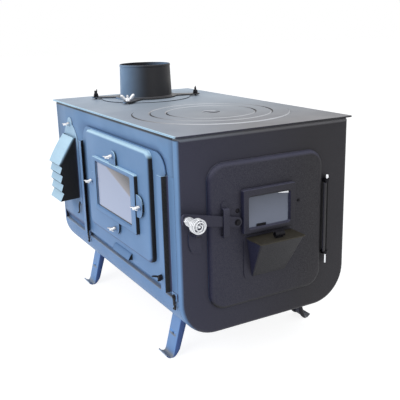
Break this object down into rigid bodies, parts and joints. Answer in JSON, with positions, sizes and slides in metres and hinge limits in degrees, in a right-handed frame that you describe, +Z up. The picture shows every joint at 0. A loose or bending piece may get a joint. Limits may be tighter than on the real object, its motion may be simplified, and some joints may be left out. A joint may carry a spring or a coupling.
{
  "type": "tent wood stove",
  "caption": "Box-shaped sheet-steel tent stove on splayed legs, with a glazed fire door, a glazed side panel, a louvred air hood, nested cooking rings and a flue collar",
  "frame": {"origin": "centre of the bottom face of the bounding box, on the floor", "axes": "+X to the right seen from the door, +Y from the door to the rear, +Z up"},
  "size_m": [0.456, 0.7728, 0.5774],
  "materials": {
    "side_paint": "satin",
    "front_paint": "satin",
    "top_paint": "satin",
    "dark_paint": "satin",
    "zinc": "bright zinc plating",
    "cast_iron": "matt",
    "rope": "woven",
    "door_pane": "clear",
    "side_pane": "clear"
  },
  "bodies": {
    "stove": {"bottom_tub": "side_paint", "left_wall": "side_paint", "leg_front_left": "side_paint", "leg_rear_left": "side_paint", "rail_front": "side_paint", "rail_rear": "side_paint", "hood_plate": "side_paint", "louvred_hood": "side_paint", "front_end_plate": "front_paint", "latch_keeper": "front_paint", "top_plate": "top_paint", "flue_disc": "top_paint", "right_wall": "dark_paint", "rear_end_plate": "dark_paint", "leg_front_right": "dark_paint", "leg_rear_right": "dark_paint", "hinge_eye_top": "dark_paint", "hinge_eye_bottom": "dark_paint", "flue_flange": "dark_paint", "flue_collar": "dark_paint", "hinge_pin": "zinc", "grate": "cast_iron", "baffle": "cast_iron"},
    "door": {"fire_door": "front_paint", "door_seal": "rope", "door_window_frame": "front_paint", "door_glass": "door_pane", "hinge_knuckle": "dark_paint", "latch_bracket": "front_paint", "air_box": "front_paint", "door_window_screw_left": "zinc", "door_window_screw_right": "zinc", "latch_pivot_bolt": "dark_paint"},
    "latch": {"latch_bar": "front_paint", "handle_bolt": "zinc", "handle_coil": "zinc"},
    "air_flap": {"air_lid": "dark_paint", "air_lid_grip": "dark_paint"},
    "ring_outer": {"hob_ring_outer": "top_paint"},
    "ring_inner": {"hob_ring_inner": "top_paint"},
    "lid": {"hob_lid": "top_paint"},
    "window_panel": {"side_panel": "side_paint", "side_window_frame": "side_paint", "side_glass": "side_pane", "clamp_top": "side_paint", "clamp_bottom": "side_paint", "clamp_front": "side_paint", "clamp_rear": "side_paint"},
    "hook_front": {"swivel_hook_front": "dark_paint"},
    "hook_rear": {"swivel_hook_rear": "dark_paint"},
    "flue_nut_front": {"flue_wing_nut_front": "zinc"},
    "flue_nut_right": {"flue_wing_nut_right": "dark_paint"},
    "flue_nut_left": {"flue_wing_nut_left": "dark_paint"},
    "clamp_nut_top": {"clamp_nut_top": "zinc"},
    "clamp_nut_bottom": {"clamp_nut_bottom": "zinc"},
    "clamp_nut_front": {"clamp_nut_front": "zinc"},
    "clamp_nut_rear": {"clamp_nut_rear": "zinc"},
    "lock_screw": {"panel_lock_screw": "dark_paint"},
    "hood_nut": {"hood_wing_nut": "zinc"}
  },
  "joints": [
    {"name": "door_swing", "type": "hinge", "parent": "stove", "child": "door", "pos_m": [0.162, -0.32664, 0.29], "axis": [0, 0, 1], "range_deg": [0, 120]},
    {"name": "latch_turn", "type": "hinge", "parent": "door", "child": "latch", "pos_m": [-0.061, -0.33364, 0.3145], "axis": [0, 1, 0], "range_deg": [-12, 14]},
    {"name": "air_flap_tilt", "type": "hinge", "parent": "door", "child": "air_flap", "pos_m": [0.014, -0.33304, 0.277], "axis": [-1, 0, 0], "range_deg": [0, 40]},
    {"name": "ring_outer_lift", "type": "slide", "parent": "stove", "child": "ring_outer", "axis": [0, 0, 1], "range_m": [0, 0.06]},
    {"name": "ring_inner_lift", "type": "slide", "parent": "ring_outer", "child": "ring_inner", "axis": [0, 0, 1], "range_m": [0, 0.06]},
    {"name": "lid_lift", "type": "slide", "parent": "ring_inner", "child": "lid", "axis": [0, 0, 1], "range_m": [0, 0.06]},
    {"name": "window_panel_lift", "type": "slide", "parent": "stove", "child": "window_panel", "axis": [0, 0, 1], "range_m": [0, 0.03]},
    {"name": "flue_nut_front_turn", "type": "hinge", "parent": "stove", "child": "flue_nut_front", "pos_m": [-0.06184, 0.16002, 0.5], "axis": [0, 0, 1], "continuous": true},
    {"name": "flue_nut_right_turn", "type": "hinge", "parent": "stove", "child": "flue_nut_right", "pos_m": [0.15554, 0.20821, 0.5], "axis": [0, 0, 1], "continuous": true},
    {"name": "flue_nut_left_turn", "type": "hinge", "parent": "stove", "child": "flue_nut_left", "pos_m": [-0.08611, 0.31329, 0.5], "axis": [0, 0, 1], "continuous": true},
    {"name": "clamp_nut_top_turn", "type": "hinge", "parent": "window_panel", "child": "clamp_nut_top", "pos_m": [-0.207, -0.06214, 0.412], "axis": [-1, 0, 0], "continuous": true},
    {"name": "clamp_nut_bottom_turn", "type": "hinge", "parent": "window_panel", "child": "clamp_nut_bottom", "pos_m": [-0.207, -0.06214, 0.253], "axis": [-1, 0, 0], "continuous": true},
    {"name": "clamp_nut_front_turn", "type": "hinge", "parent": "window_panel", "child": "clamp_nut_front", "pos_m": [-0.207, -0.19564, 0.3325], "axis": [-1, 0, 0], "continuous": true},
    {"name": "clamp_nut_rear_turn", "type": "hinge", "parent": "window_panel", "child": "clamp_nut_rear", "pos_m": [-0.207, 0.07136, 0.3325], "axis": [-1, 0, 0], "continuous": true},
    {"name": "lock_screw_turn", "type": "hinge", "parent": "stove", "child": "lock_screw", "pos_m": [-0.197, -0.27014, 0.21], "axis": [-1, 0, 0], "continuous": true},
    {"name": "hood_nut_turn", "type": "hinge", "parent": "stove", "child": "hood_nut", "pos_m": [-0.183, 0.26736, 0.438], "axis": [-1, 0, 0], "continuous": true},
    {"name": "hook_front_swing", "type": "hinge", "parent": "stove", "child": "hook_front", "pos_m": [-0.18, -0.29364, 0.1735], "axis": [-1, 0, 0], "range_deg": [-90, 0]},
    {"name": "hook_rear_swing", "type": "hinge", "parent": "stove", "child": "hook_rear", "pos_m": [-0.18, 0.18036, 0.1735], "axis": [-1, 0, 0], "range_deg": [0, 90]}
  ]
}
